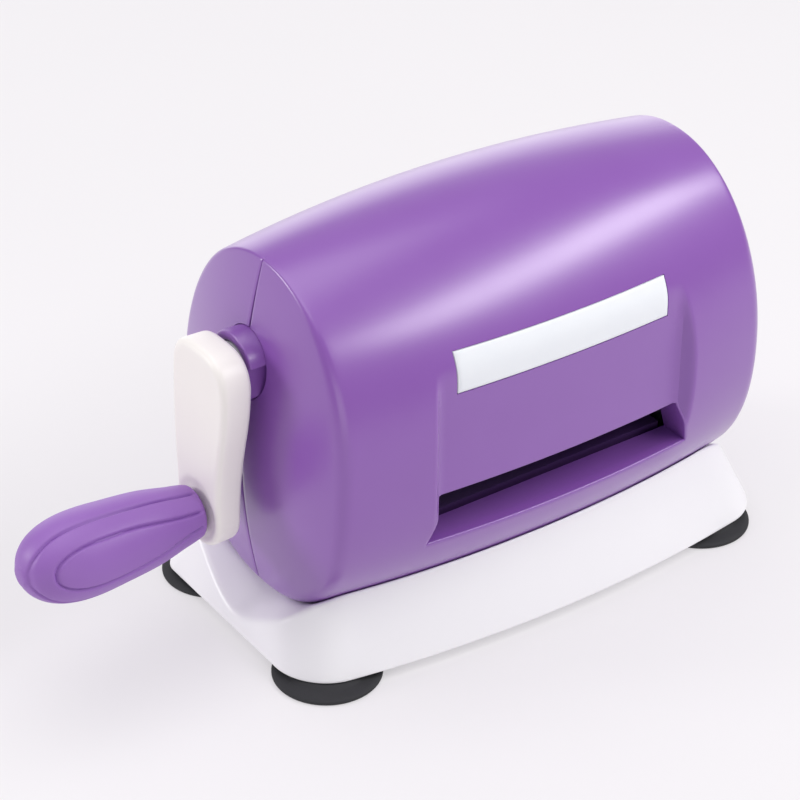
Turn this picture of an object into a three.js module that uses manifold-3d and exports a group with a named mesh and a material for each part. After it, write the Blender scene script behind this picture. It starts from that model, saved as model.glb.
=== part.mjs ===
// Hand-cranked tabletop die cutting machine, A6 size. Millimetres, +Z up.
// The roller axes run along X, the crank is at -X and the front feed slot faces -Y.
// Parts are drawn about the middle of the barrel housing, and the outer group then
// puts the origin under the middle of the whole machine.
import * as THREE from "three";
import { mergeVertices } from "three/addons/utils/BufferGeometryUtils.js";
import Module from "manifold-3d";

const wasm = await Module();
wasm.setup();

// ---------------------------------------------------------------- driving dimensions
const GAP = 0.3; // air kept between neighbouring pieces

// Barrel housing: superellipse rings that shrink towards both ends, closed by low domes
const BARREL = {
  z: 93.8,
  halfY: 67.9,
  halfZ: 81,
  taperY: 8.75, // half depth lost at 100 mm from the middle
  taperZ: 6.2,
  upperPower: 2.1,
  lowerPower: 2.4,
  endX: 114.2, // crown of each end dome
  crownZ: 82.3,
  domeRadiusY: 188.6,
  domeRadiusZ: 284.7,
  wall: 3,
};

// Front and rear feed slots, in a recess that a bowed upright face cuts into the barrel
const SLOT = { low: 56.8, high: 76.5, halfLow: 65.6, halfHigh: 59.7, tunnelEnd: 46, lip: 2.5 };
const RECESS = { faceY: 61, bow: 2.6, halfInner: 60.5, halfOuter: 66, top: 134 };
const LABEL = { halfX: 51.7, low: 121.3, high: 138, thick: 1.2, proud: 0.2 };

// Roller train: crank pinion -> reduction gear on the upper roller -> sync gears 1:1
const NIP_Z = 66.8;
const SYNC = { module: 2, teeth: 22 };
const REDUCTION = { module: 1.5, pinionTeeth: 12, gearTeeth: 38 };
const ROLLER = { radius: 14.5, halfLength: 64.5, journal: 6, reach: 85 };
const UPPER_Z = NIP_Z + (SYNC.module * SYNC.teeth) / 2;
const LOWER_Z = NIP_Z - (SYNC.module * SYNC.teeth) / 2;
const CRANK_Z =
  UPPER_Z + (REDUCTION.module * (REDUCTION.pinionTeeth + REDUCTION.gearTeeth)) / 2;
const GEAR_X = { inner: 74, outer: 82 };

const PRESSURE = (20 * Math.PI) / 180;
const BACKLASH = 0.9; // tooth width as a share of half the pitch

// Steel side frames, feed tables and what joins them; spots are [y, z]
const FRAME = { innerX: 67.5, thick: 3, footZ: 23.2, footHalfY: 24, footReach: 56 };
const FRAME_OUTLINE = [
  [-24, 23.2], [24, 23.2], [40, 50], [42, 62], [42, 118], [36, 136],
  [18, 146], [-18, 146], [-36, 136], [-42, 118], [-42, 62], [-40, 50],
];
const BUSH = { radius: 9.7, flange: 12, flangeThick: 1.9 };
const TIE_ROD = { radius: 5, end: 3, spots: [[34, 118], [24, 35]] };
const FRAME_BOLT = { x: 61.5, y: 16, radius: 2.5, head: 4.5, endZ: 28 };
const TABLE = { near: 11, far: 43, halfX: 64.6, thick: 1.6, topZ: 57.8, tabNear: 20, tabFar: 32 };

// Screws that join the housing halves; spots are [x, z]
const HALF_SCREW = {
  post: 5.5,
  shank: 1.6,
  head: 3.4,
  seatY: 14,
  length: 22,
  spots: [[-45, 157], [45, 157], [-89, 62], [89, 62]],
};

// Base
const BASE = {
  leftX: -122.4,
  rightX: 116,
  halfY: 69, // at the widest place of the long sides, which is at bowX
  bowX: 6.6,
  bow: 8.6, // how much further in the long sides are at 100 mm from bowX
  frontCorner: 20,
  rearCorner: 9,
  bottomZ: 4.5,
  topZ: 39,
  flankIn: 13, // how far the long flanks lean in towards their top edge
  tuck: 4.5, // further lean of the top edge at 100 mm from bowX, where the barrel is slimmer
  endIn: 12,
  wall: 3,
  plateThick: 2,
};
const CRADLE_GAP = 0.4; // between the housing and the base that carries it
// Dip at each end: its height at the flank, its upward slope towards the housing, and where it starts
const SADDLE = { lowZ: 10, rise: 29, halfY: 47, slope: 0.35, edgeIn: 25, leftX: -121.5, rightX: 114.5 };
const FOOT = {
  radius: 22.5,
  rim: 1.6,
  neck: 15,
  height: 4.2,
  stem: 5,
  screw: 1.6,
  well: 4.2,
  spots: [[-103, 43.1], [87.6, 46.5]], // [x, y], mirrored to the other side
};

// Crank
const COLLAR = { radius: 14.5, bore: 10.5, inX: -103, outX: -116, flat: 3, flatTop: 5 };
const SHAFT = { radius: 6, inX: -62, outX: -127 };
const ARM = {
  inX: -118,
  thick: 14,
  thinning: 0.14,
  splay: 4.6,
  hubZ: 120.7,
  hubHalf: 19.4, // half size of the squarish hub
  hubPower: 2.9,
  padR: 15.7,
  waist: 13.6, // half width of the front side at its waist
  waistZ: 84,
  edge: 2.8,
};
const GRUB = { radius: 2, length: 9, x: -123 };
const GRIP = { y: 0.6, z: 66.4, rootX: -135, length: 78, spindle: 4, snapHead: 5.2 };
const GRIP_OUTLINE = [
  [0, 8.8], [1.5, 10.8], [10, 12.8], [22, 15.3], [37, 16.8], [50, 17.6],
  [60, 16.8], [68, 14.3], [74, 9.9], [77.2, 4.6], [78, 0],
];
const SNAP = { from: 56, to: 64 };
const SPINDLE_IN_X = -126;

// ---------------------------------------------------------------- solids and placing
function toSolid(geometry) {
  const bare = geometry.index ? geometry.toNonIndexed() : geometry.clone();
  bare.deleteAttribute("normal");
  bare.deleteAttribute("uv");
  const merged = mergeVertices(bare, 1e-4);
  return new wasm.Manifold(
    new wasm.Mesh({
      numProp: 3,
      vertProperties: new Float32Array(merged.attributes.position.array),
      triVerts: new Uint32Array(merged.index.array),
    }),
  );
}

function toGeometry(solid) {
  const mesh = solid.getMesh();
  const geometry = new THREE.BufferGeometry();
  geometry.setAttribute("position", new THREE.BufferAttribute(mesh.vertProperties, 3));
  geometry.setIndex(new THREE.BufferAttribute(mesh.triVerts, 1));
  geometry.computeVertexNormals();
  return geometry;
}

const ALONG_X = new THREE.Matrix4().makeRotationZ(-Math.PI / 2);
const ALONG_Z = new THREE.Matrix4().makeRotationX(Math.PI / 2);
const PROFILE_YZ = new THREE.Matrix4().makeBasis(
  new THREE.Vector3(0, 1, 0),
  new THREE.Vector3(0, 0, 1),
  new THREE.Vector3(1, 0, 0),
);

function box(lowX, highX, lowY, highY, lowZ, highZ) {
  const geometry = new THREE.BoxGeometry(highX - lowX, highY - lowY, highZ - lowZ);
  return geometry.translate((lowX + highX) / 2, (lowY + highY) / 2, (lowZ + highZ) / 2);
}

// Round bar along X or Z between two stations
function barX(radius, fromX, toX, y, z, sides = 16) {
  const geometry = new THREE.CylinderGeometry(radius, radius, Math.abs(toX - fromX), sides);
  return geometry.applyMatrix4(ALONG_X).translate((fromX + toX) / 2, y, z);
}

function barZ(radius, fromZ, toZ, x, y, sides = 12) {
  const geometry = new THREE.CylinderGeometry(radius, radius, toZ - fromZ, sides);
  return geometry.applyMatrix4(ALONG_Z).translate(x, y, (fromZ + toZ) / 2);
}

// Turned piece: profile is [radius, station] with rising stations, closed on the axis
function turned(profile, sides) {
  return new THREE.LatheGeometry(profile.map(([r, s]) => new THREE.Vector2(r, s)), sides);
}

function turnedX(profile, y, z, sides = 16) {
  return turned(profile, sides).applyMatrix4(ALONG_X).translate(0, y, z);
}

function turnedZ(profile, x, y, sides = 20) {
  return turned(profile, sides).applyMatrix4(ALONG_Z).translate(x, y, 0);
}

// Prism of a Y-Z outline between two X stations
function prismX(outline, fromX, toX) {
  const shape = outline instanceof THREE.Shape ? outline : shapeOf(outline);
  const geometry = new THREE.ExtrudeGeometry(shape, {
    depth: toX - fromX,
    bevelEnabled: false,
    curveSegments: 10,
  });
  return geometry.applyMatrix4(PROFILE_YZ).translate(fromX, 0, 0);
}

function shapeOf(points) {
  return new THREE.Shape(points.map(([a, b]) => new THREE.Vector2(a, b)));
}

// Closed skin over rings of points that all have the same count, with a point at each end
function skin(rings, startPoint, endPoint) {
  const count = rings[0].length;
  const points = [startPoint, ...rings.flat(), endPoint];
  const last = points.length - 1;
  const index = [];
  for (let k = 0; k < count; k++) {
    const next = (k + 1) % count;
    index.push(0, 1 + next, 1 + k);
    for (let r = 0; r + 1 < rings.length; r++) {
      const near = 1 + r * count;
      const far = near + count;
      index.push(near + k, near + next, far + k, near + next, far + next, far + k);
    }
    const end = 1 + (rings.length - 1) * count;
    index.push(last, end + k, end + next);
  }
  const geometry = new THREE.BufferGeometry();
  geometry.setAttribute("position", new THREE.Float32BufferAttribute(points.flat(), 3));
  geometry.setIndex(index);
  return geometry;
}

const machine = new THREE.Group();

function addPiece(name, shape, material) {
  const geometry = shape instanceof THREE.BufferGeometry ? shape : toGeometry(shape);
  const mesh = new THREE.Mesh(geometry, new THREE.MeshStandardMaterial(material));
  mesh.name = name;
  machine.add(mesh);
  return mesh;
}

const PURPLE = { color: 0x8e5bbd, roughness: 0.42, metalness: 0 };
const WHITE = { color: 0xeceaf0, roughness: 0.35, metalness: 0 };
const CREAM = { color: 0xe9e4e2, roughness: 0.45, metalness: 0 };
const STRIP = { color: 0xe4ebee, roughness: 0.5, metalness: 0 };
const RUBBER = { color: 0x2f2f31, roughness: 0.8, metalness: 0 };
const STEEL = { color: 0xb9bcc0, roughness: 0.35, metalness: 1 };
const PLATE = { color: 0x9da1a6, roughness: 0.5, metalness: 1 };
const BRONZE = { color: 0xb08a4a, roughness: 0.4, metalness: 1 };
const NYLON = { color: 0xdcdcda, roughness: 0.5, metalness: 0 };
const GREY = { color: 0xc9c9cd, roughness: 0.5, metalness: 0 };

// ---------------------------------------------------------------- barrel housing
const halfYAt = (x) => BARREL.halfY - BARREL.taperY * (x / 100) ** 2;
const halfZAt = (x) => BARREL.halfZ - BARREL.taperZ * (x / 100) ** 2;
const domeXAt = (y, z) =>
  BARREL.endX - (z - BARREL.crownZ) ** 2 / (2 * BARREL.domeRadiusZ) -
  y ** 2 / (2 * BARREL.domeRadiusY);

// Point of the barrel's ring at station x, seen under an angle from the axis
function ringPoint(x, angle, inset) {
  const c = Math.cos(angle);
  const s = Math.sin(angle);
  const power = s < 0 ? BARREL.lowerPower : BARREL.upperPower;
  const reach =
    (Math.abs(c / (halfYAt(x) - inset)) ** power +
      Math.abs(s / (halfZAt(x) - inset)) ** power) ** (-1 / power);
  return [reach * c, BARREL.z + reach * s];
}

// Station where the ring meets the end dome, by repeated substitution
function creaseAt(angle, inset) {
  let x = 104;
  for (let step = 0; step < 12; step++) x = domeXAt(...ringPoint(x, angle, inset)) - inset;
  return x;
}

function barrel(inset, sides, stations, domeSteps) {
  const rings = [];
  const angles = Array.from({ length: sides }, (_, k) => (2 * Math.PI * k) / sides);
  const edges = angles.map((angle) => creaseAt(angle, inset));
  const domeRing = (side, share) =>
    angles.map((angle, k) => {
      const [y, z] = ringPoint(edges[k], angle, inset);
      const lowY = y * share;
      const lowZ = BARREL.z + (z - BARREL.z) * share;
      return [side * (domeXAt(lowY, lowZ) - inset), lowY, lowZ];
    });
  for (let step = 1; step < domeSteps; step++) rings.push(domeRing(-1, step / domeSteps));
  for (let station = 0; station <= stations; station++) {
    const share = (2 * station) / stations - 1;
    rings.push(
      angles.map((angle, k) => [share * edges[k], ...ringPoint(share * edges[k], angle, inset)]),
    );
  }
  for (let step = domeSteps - 1; step > 0; step--) rings.push(domeRing(1, step / domeSteps));
  const crown = domeXAt(0, BARREL.z) - inset;
  return toSolid(skin(rings, [-crown, 0, BARREL.z], [crown, 0, BARREL.z]));
}

// Bowed upright block that clears the recess: wide at the barrel's surface, narrower inside
function recessCutter(side) {
  const steps = 6;
  const outline = [];
  for (let step = 0; step <= steps; step++) {
    const x = RECESS.halfInner * ((2 * step) / steps - 1);
    outline.push([x, -(RECESS.faceY - RECESS.bow * (x / RECESS.halfInner) ** 2)]);
  }
  outline.push([RECESS.halfOuter, -RECESS.faceY - 3.5], [RECESS.halfOuter, -90]);
  outline.push([-RECESS.halfOuter, -90], [-RECESS.halfOuter, -RECESS.faceY - 3.5]);
  const geometry = new THREE.ExtrudeGeometry(shapeOf(outline), {
    depth: RECESS.top - SLOT.low,
    bevelEnabled: false,
  });
  geometry.translate(0, 0, SLOT.low);
  if (side > 0) geometry.rotateZ(Math.PI);
  return toSolid(geometry);
}

// Trapezoid feed slot and the tunnel wall round it, as prisms along Y
function slotPrism(side, grow, fromY, toY) {
  const shape = shapeOf([
    [-SLOT.halfLow - grow, SLOT.low - grow],
    [SLOT.halfLow + grow, SLOT.low - grow],
    [SLOT.halfHigh + grow, SLOT.high + grow],
    [-SLOT.halfHigh - grow, SLOT.high + grow],
  ]);
  const geometry = new THREE.ExtrudeGeometry(shape, {
    depth: toY - fromY,
    bevelEnabled: false,
  });
  geometry.rotateX(Math.PI / 2).translate(0, -fromY, 0);
  if (side > 0) geometry.rotateZ(Math.PI);
  return toSolid(geometry);
}

const outerBarrel = barrel(0, 40, 8, 3);
const innerBarrel = barrel(BARREL.wall, 20, 4, 2);
const frontSkin = outerBarrel.subtract(recessCutter(-1));

// Wells for the screws that hold the two housing halves together, seen from the rear
function screwPost(side, [x, z]) {
  const post = new THREE.CylinderGeometry(HALF_SCREW.post, HALF_SCREW.post, 62, 14);
  post.translate(x, side * 31.15, z);
  return toSolid(post).intersect(outerBarrel);
}

function screwHole([x, z]) {
  const pilot = new THREE.CylinderGeometry(HALF_SCREW.shank + GAP, HALF_SCREW.shank + GAP, 28, 10);
  const well = new THREE.CylinderGeometry(HALF_SCREW.head + GAP, HALF_SCREW.head + GAP, 70, 12);
  pilot.translate(x, 2, z);
  well.translate(x, HALF_SCREW.seatY + 35, z);
  return toSolid(pilot).add(toSolid(well));
}

function housingHalf(side) {
  const near = Math.min(side * 100, (side * GAP) / 2);
  const far = Math.max(side * 100, (side * GAP) / 2);
  const half = toSolid(box(-130, 130, near, far, 0, 200));
  const recess = recessCutter(side);
  // The wall behind the recess is set back so that it keeps its full thickness there
  const backFace = RECESS.faceY - RECESS.bow - BARREL.wall;
  const backing = toSolid(
    box(-70, 70, Math.min(side * 70, side * backFace), Math.max(side * 70, side * backFace), 48, 137),
  );
  let body = outerBarrel.subtract(recess).subtract(innerBarrel.subtract(backing));
  const tunnel = slotPrism(side, SLOT.lip, SLOT.tunnelEnd, 62).intersect(outerBarrel);
  body = body.add(tunnel.subtract(recess)).subtract(slotPrism(side, 0, SLOT.tunnelEnd - 5, 90));
  for (const spot of HALF_SCREW.spots) body = body.add(screwPost(side, spot));
  for (const spot of HALF_SCREW.spots) body = body.subtract(screwHole(spot));
  for (const x of [-FRAME_BOLT.x, FRAME_BOLT.x]) {
    const y = side * FRAME_BOLT.y;
    const pad = toSolid(barZ(5.5, 14, FRAME.footZ - GAP, x, y)).intersect(outerBarrel);
    body = body.add(pad).subtract(toSolid(barZ(FRAME_BOLT.radius + GAP, 0, 40, x, y)));
  }
  body = body.subtract(toSolid(barX(COLLAR.radius + GAP, -125, -95, 0, CRANK_Z, 24)));
  return body.intersect(half);
}

// Curved strip that lies in a shallow pocket of the front half, from the recess up onto the barrel
function stripLayer(outward, inward, grow) {
  const block = toSolid(
    box(-LABEL.halfX - grow, LABEL.halfX + grow, -80, -40, LABEL.low - grow, LABEL.high + grow),
  );
  const outer = frontSkin.translate([0, -outward, 0]);
  return outer.subtract(frontSkin.translate([0, inward, 0])).intersect(block);
}

function addHousing() {
  const pocket = stripLayer(1, LABEL.thick + GAP, 0.5);
  addPiece("front_shell", housingHalf(-1).subtract(pocket), PURPLE);
  addPiece("rear_shell", housingHalf(1), PURPLE);
  addPiece("label_strip", stripLayer(LABEL.proud, LABEL.thick, 0), STRIP);
  HALF_SCREW.spots.forEach(([x, z], k) => {
    const { head, shank, seatY, length } = HALF_SCREW;
    const screw = turned([[0, -length], [shank, -length], [shank, 0], [head, 0], [head, 2.4], [0, 2.4]], 8);
    addPiece(`shell_screw_${k + 1}`, screw.translate(x, seatY + GAP, z), STEEL);
  });
}

// ---------------------------------------------------------------- base, feet and bolts
const BASE_MID_X = (BASE.leftX + BASE.rightX) / 2;

// One level of the base's plan: bowed long sides, straight ends and round corners
function baseRing(z, inset) {
  const rise = (z - BASE.bottomZ) / (BASE.topZ - BASE.bottomZ);
  const left = BASE.leftX + BASE.endIn * rise + inset;
  const right = BASE.rightX - BASE.endIn * rise - inset;
  const sideY = (x) => {
    const away = ((x - BASE.bowX) / 100) ** 2;
    return BASE.halfY - BASE.bow * away - (BASE.flankIn + BASE.tuck * away) * rise - inset;
  };
  const cornerPoint = (x, endward, radius, step) => {
    const turn = (step / 5) * (Math.PI / 2);
    const here = x + endward * radius * Math.sin(turn);
    return [here, sideY(here) - radius + radius * Math.cos(turn)];
  };
  const longSide = (radius) => {
    const [from, to] = [left + radius, right - radius];
    const steps = [0, 1, 2, 3, 4, 5];
    const leftCorner = steps.map((step) => cornerPoint(from, -1, radius, step)).toReversed();
    const rightCorner = steps.map((step) => cornerPoint(to, 1, radius, step));
    const between = [1, 2, 3, 4, 5, 6, 7].map((step) => from + ((to - from) * step) / 8);
    return [...leftCorner, ...between.map((x) => [x, sideY(x)]), ...rightCorner];
  };
  const front = longSide(BASE.frontCorner - inset).map(([x, y]) => [x, -y]);
  const rear = longSide(BASE.rearCorner - inset).toReversed();
  return [...front, ...rear].map(([x, y]) => [x, y, z]);
}

function baseLoft(inset, lowZ, highZ) {
  const levels = [0, 0.5, 1].map((share) => lowZ + (highZ - lowZ) * share);
  const rings = levels.map((z) => baseRing(z, inset));
  return toSolid(skin(rings, [BASE_MID_X, 0, lowZ], [BASE_MID_X, 0, highZ]));
}

// Height of the dip above the flank's foot line, for a point at the very end of the base
function dipAt(y) {
  const share = Math.abs(y) / SADDLE.halfY;
  return SADDLE.lowZ + SADDLE.rise * share ** 1.75 - SADDLE.slope * SADDLE.edgeIn * share ** 3;
}

// Saddle that dips at each end of the base and rises towards the housing
function endScoops(grow) {
  const outline = [];
  for (let step = 0; step <= 16; step++) {
    const y = -64 + 8 * step;
    outline.push([y, dipAt(y) - grow]);
  }
  outline.push([64, 120], [-64, 120]);
  const { slope, leftX, rightX } = SADDLE;
  const leftLean = new THREE.Matrix4().makeShear(0, slope, 0, 0, 0, 0);
  const rightLean = new THREE.Matrix4().makeShear(0, -slope, 0, 0, 0, 0);
  const left = prismX(outline, -30, 36).applyMatrix4(leftLean).translate(leftX, 0, 0);
  const right = prismX(outline, -36, 30).applyMatrix4(rightLean).translate(rightX, 0, 0);
  return toSolid(left).add(toSolid(right));
}

function footSpots() {
  return FOOT.spots.flatMap(([x, y]) => [[x, -y], [x, y]]);
}

function boltSpots() {
  const { x, y } = FRAME_BOLT;
  return [[-x, -y], [-x, y], [x, -y], [x, y]];
}

function baseCradle() {
  const skinDepth = BASE.wall + CRADLE_GAP;
  const cavity = baseLoft(BASE.wall, BASE.bottomZ - 1, BASE.topZ - BASE.wall)
    .subtract(barrel(-skinDepth, 20, 4, 2))
    .subtract(endScoops(BASE.wall));
  const full = baseLoft(0, BASE.bottomZ, BASE.topZ)
    .subtract(barrel(-CRADLE_GAP, 40, 8, 3))
    .subtract(endScoops(0));
  const floorZ = BASE.bottomZ + BASE.plateThick + 2 * GAP;
  let body = full.subtract(cavity);
  for (const [x, y] of [...boltSpots(), ...footSpots()]) {
    body = body.add(toSolid(barZ(5.6, floorZ, BASE.topZ, x, y)).intersect(full));
  }
  for (const [x, y] of boltSpots()) {
    body = body.subtract(toSolid(barZ(FRAME_BOLT.radius + GAP, 0, 60, x, y)));
  }
  for (const [x, y] of footSpots()) {
    body = body.subtract(toSolid(barZ(FOOT.screw + GAP, 0, 14, x, y)));
  }
  return body;
}

function bottomPlate() {
  const lowZ = BASE.bottomZ + 0.1;
  let plate = baseLoft(BASE.wall + GAP + 0.3, lowZ, lowZ + BASE.plateThick);
  for (const [x, y] of boltSpots()) {
    plate = plate.subtract(toSolid(barZ(FRAME_BOLT.head + GAP, 0, 20, x, y)));
  }
  for (const [x, y] of footSpots()) {
    plate = plate.subtract(toSolid(barZ(FOOT.stem + GAP, 0, 20, x, y)));
  }
  return plate;
}

// Rubber foot: flat rim, dished top and a stem that passes the bottom plate
function footRing() {
  const { radius, rim, neck, height, stem, screw, well } = FOOT;
  const top = BASE.bottomZ + BASE.plateThick;
  return [
    [screw + GAP, rim], [well, rim], [well, 0], [radius, 0], [radius, rim],
    [neck, height], [stem, height], [stem, top], [screw + GAP, top], [screw + GAP, rim],
  ];
}

function addBase() {
  addPiece("base_cradle", baseCradle(), WHITE);
  addPiece("base_bottom_plate", bottomPlate(), GREY);
  const corners = ["front_left", "rear_left", "front_right", "rear_right"];
  footSpots().forEach(([x, y], k) => {
    const { screw, well, rim } = FOOT;
    addPiece(`foot_${corners[k]}`, turnedZ(footRing(), x, y, 20), RUBBER);
    const profile = [
      [0, 0.3], [well - GAP, 0.3], [well - GAP, rim - GAP], [screw, rim - GAP], [screw, 13], [0, 13],
    ];
    addPiece(`foot_screw_${corners[k]}`, turnedZ(profile, x, y, 8), STEEL);
  });
  boltSpots().forEach(([x, y], k) => {
    const { radius, head, endZ } = FRAME_BOLT;
    const seat = BASE.bottomZ + BASE.plateThick + GAP;
    const profile = [
      [0, seat - 3], [head, seat - 3], [head, seat], [radius, seat], [radius, endZ], [0, endZ],
    ];
    addPiece(`frame_bolt_${k + 1}`, turnedZ(profile, x, y, 8), STEEL);
  });
}

// ---------------------------------------------------------------- side frames and feed tables
function sideFrame(side) {
  const inner = side * FRAME.innerX;
  const outer = side * (FRAME.innerX + FRAME.thick);
  const plate = toSolid(prismX(FRAME_OUTLINE, Math.min(inner, outer), Math.max(inner, outer)));
  const reach = side * FRAME.footReach;
  const foot = box(
    Math.min(reach, outer), Math.max(reach, outer),
    -FRAME.footHalfY, FRAME.footHalfY, FRAME.footZ, FRAME.footZ + FRAME.thick,
  );
  let body = plate.add(toSolid(foot));
  const holes = [LOWER_Z, UPPER_Z];
  if (side < 0) holes.push(CRANK_Z);
  for (const z of holes) body = body.subtract(toSolid(barX(BUSH.radius + GAP, -90, 90, 0, z)));
  for (const [y, z] of rodSpots()) {
    body = body.subtract(toSolid(barX(TIE_ROD.end + GAP, -90, 90, y, z, 12)));
  }
  for (const [x, y] of boltSpots()) {
    body = body.subtract(toSolid(barZ(FRAME_BOLT.radius + GAP, 10, 50, x, y)));
  }
  for (const facing of [-1, 1]) body = body.subtract(toSolid(tableTab(facing, GAP)));
  return body;
}

function rodSpots() {
  return TIE_ROD.spots.flatMap(([y, z]) => [[-y, z], [y, z]]);
}

function tableTab(facing, grow) {
  const { tabNear, tabFar, thick, topZ } = TABLE;
  const reach = FRAME.innerX + FRAME.thick + grow;
  const near = Math.min(facing * tabNear, facing * tabFar) - grow;
  const far = Math.max(facing * tabNear, facing * tabFar) + grow;
  return box(-reach, reach, near, far, topZ - thick - grow, topZ + grow);
}

function feedTable(facing) {
  const { near, far, halfX, thick, topZ } = TABLE;
  const low = Math.min(facing * near, facing * far);
  const high = Math.max(facing * near, facing * far);
  const deck = toSolid(box(-halfX, halfX, low, high, topZ - thick, topZ));
  const edge = facing < 0 ? low : high - thick;
  const apron = toSolid(box(-halfX, halfX, edge, edge + thick, topZ - 8, topZ));
  return deck.add(apron).add(toSolid(tableTab(facing, 0)));
}

function addFrames() {
  addPiece("left_side_frame", sideFrame(-1), PLATE);
  addPiece("right_side_frame", sideFrame(1), PLATE);
  const names = ["upper_front", "upper_rear", "lower_front", "lower_rear"];
  rodSpots().forEach(([y, z], k) => {
    const { radius, end } = TIE_ROD;
    const shoulder = FRAME.innerX - GAP;
    const tip = FRAME.innerX + FRAME.thick + 2;
    const profile = [
      [0, -tip], [end, -tip], [end, -shoulder], [radius, -shoulder],
      [radius, shoulder], [end, shoulder], [end, tip], [0, tip],
    ];
    addPiece(`tie_rod_${names[k]}`, turnedX(profile, y, z, 10), STEEL);
  });
  addPiece("front_feed_table", feedTable(-1), PURPLE);
  addPiece("rear_feed_table", feedTable(1), PURPLE);
}

// Flanged plain bush, flange against the frame's inner face
function frameBush(side, z) {
  const face = FRAME.innerX - GAP;
  const bore = ROLLER.journal + GAP;
  const ring = [
    [bore, face - BUSH.flangeThick], [BUSH.flange, face - BUSH.flangeThick], [BUSH.flange, face],
    [BUSH.radius, face], [BUSH.radius, face + 4], [bore, face + 4], [bore, face - BUSH.flangeThick],
  ];
  const geometry = turnedX(ring, 0, z);
  return side < 0 ? geometry.rotateZ(Math.PI) : geometry;
}

// ---------------------------------------------------------------- rollers and gears
// Involute gear about X with a tooth centred on the given angle from +Y
function gear({ module, teeth }, fromX, toX, z, toothAngle) {
  const pitch = (module * teeth) / 2;
  const base = pitch * Math.cos(PRESSURE);
  const root = pitch - 1.2 * module;
  const tip = pitch + 0.92 * module;
  const involute = (r) => {
    const slope = Math.acos(Math.min(1, base / r));
    return Math.tan(slope) - slope;
  };
  const halfTooth = (r) =>
    (BACKLASH * Math.PI) / (2 * teeth) + involute(pitch) - involute(Math.max(r, base));
  const radii = [root, pitch, tip];
  const shape = [];
  for (let tooth = 0; tooth < teeth; tooth++) {
    const middle = toothAngle + (2 * Math.PI * tooth) / teeth;
    const flank = (r, sign) => {
      const angle = middle + sign * halfTooth(r);
      return [r * Math.cos(angle), z + r * Math.sin(angle)];
    };
    shape.push(...radii.map((r) => flank(r, -1)), ...radii.toReversed().map((r) => flank(r, 1)));
  }
  const blank = toSolid(prismX(shape, fromX, toX));
  return blank.subtract(toSolid(barX(ROLLER.journal + GAP, fromX - 1, toX + 1, 0, z)));
}

function roller(z) {
  const { radius, halfLength, journal, reach } = ROLLER;
  const profile = [
    [0, -reach], [journal, -reach], [journal, -halfLength], [radius - 0.8, -halfLength],
    [radius, -halfLength + 0.8], [radius, halfLength - 0.8], [radius - 0.8, halfLength],
    [journal, halfLength], [journal, reach], [0, reach],
  ];
  return turnedX(profile, 0, z, 24);
}

function addRollers() {
  addPiece("upper_roller", roller(UPPER_Z), STEEL);
  addPiece("lower_roller", roller(LOWER_Z), STEEL);
  for (const [side, word] of [[-1, "left"], [1, "right"]]) {
    addPiece(`upper_roller_bush_${word}`, frameBush(side, UPPER_Z), BRONZE);
    addPiece(`lower_roller_bush_${word}`, frameBush(side, LOWER_Z), BRONZE);
  }
  // Teeth and gaps face each other on the line of centres
  const up = Math.PI / 2;
  const down = -Math.PI / 2;
  const { module, gearTeeth, pinionTeeth } = REDUCTION;
  const { inner, outer } = GEAR_X;
  const large = { module, teeth: gearTeeth };
  const small = { module, teeth: pinionTeeth };
  const halfStep = (teeth) => Math.PI / teeth;
  addPiece("reduction_gear", gear(large, -outer, -inner, UPPER_Z, up + halfStep(gearTeeth)), NYLON);
  addPiece("crank_pinion", gear(small, -outer - 1, -inner + 0.5, CRANK_Z, down), STEEL);
  addPiece("upper_sync_gear", gear(SYNC, inner, outer, UPPER_Z, down + halfStep(SYNC.teeth)), NYLON);
  addPiece("lower_sync_gear", gear(SYNC, inner, outer, LOWER_Z, up), NYLON);
}

// ---------------------------------------------------------------- crank
function crankShaft() {
  const { radius, inX, outX } = SHAFT;
  const profile = [[0, outX], [radius, outX], [radius, inX - 2.8], [8, inX - 2.8], [8, inX], [0, inX]];
  return turnedX(profile, 0, CRANK_Z);
}

function collar() {
  const { radius, bore, inX, outX } = COLLAR;
  const ring = [
    [bore, outX], [radius - 0.7, outX], [radius, outX + 0.7], [radius, inX], [bore, inX], [bore, outX],
  ];
  const flat = box(outX - 1, outX + 9, -30, -radius + COLLAR.flat, CRANK_Z - 30, CRANK_Z + COLLAR.flatTop);
  return toSolid(turnedX(ring, 0, CRANK_Z, 24)).subtract(toSolid(flat));
}

function collarBush() {
  const { bore, inX, outX } = COLLAR;
  const outer = bore - GAP;
  const inner = SHAFT.radius + GAP;
  const ring = [[inner, outX - 0.6], [outer, outX - 0.6], [outer, inX], [inner, inX], [inner, outX - 0.6]];
  return turnedX(ring, 0, CRANK_Z);
}

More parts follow.
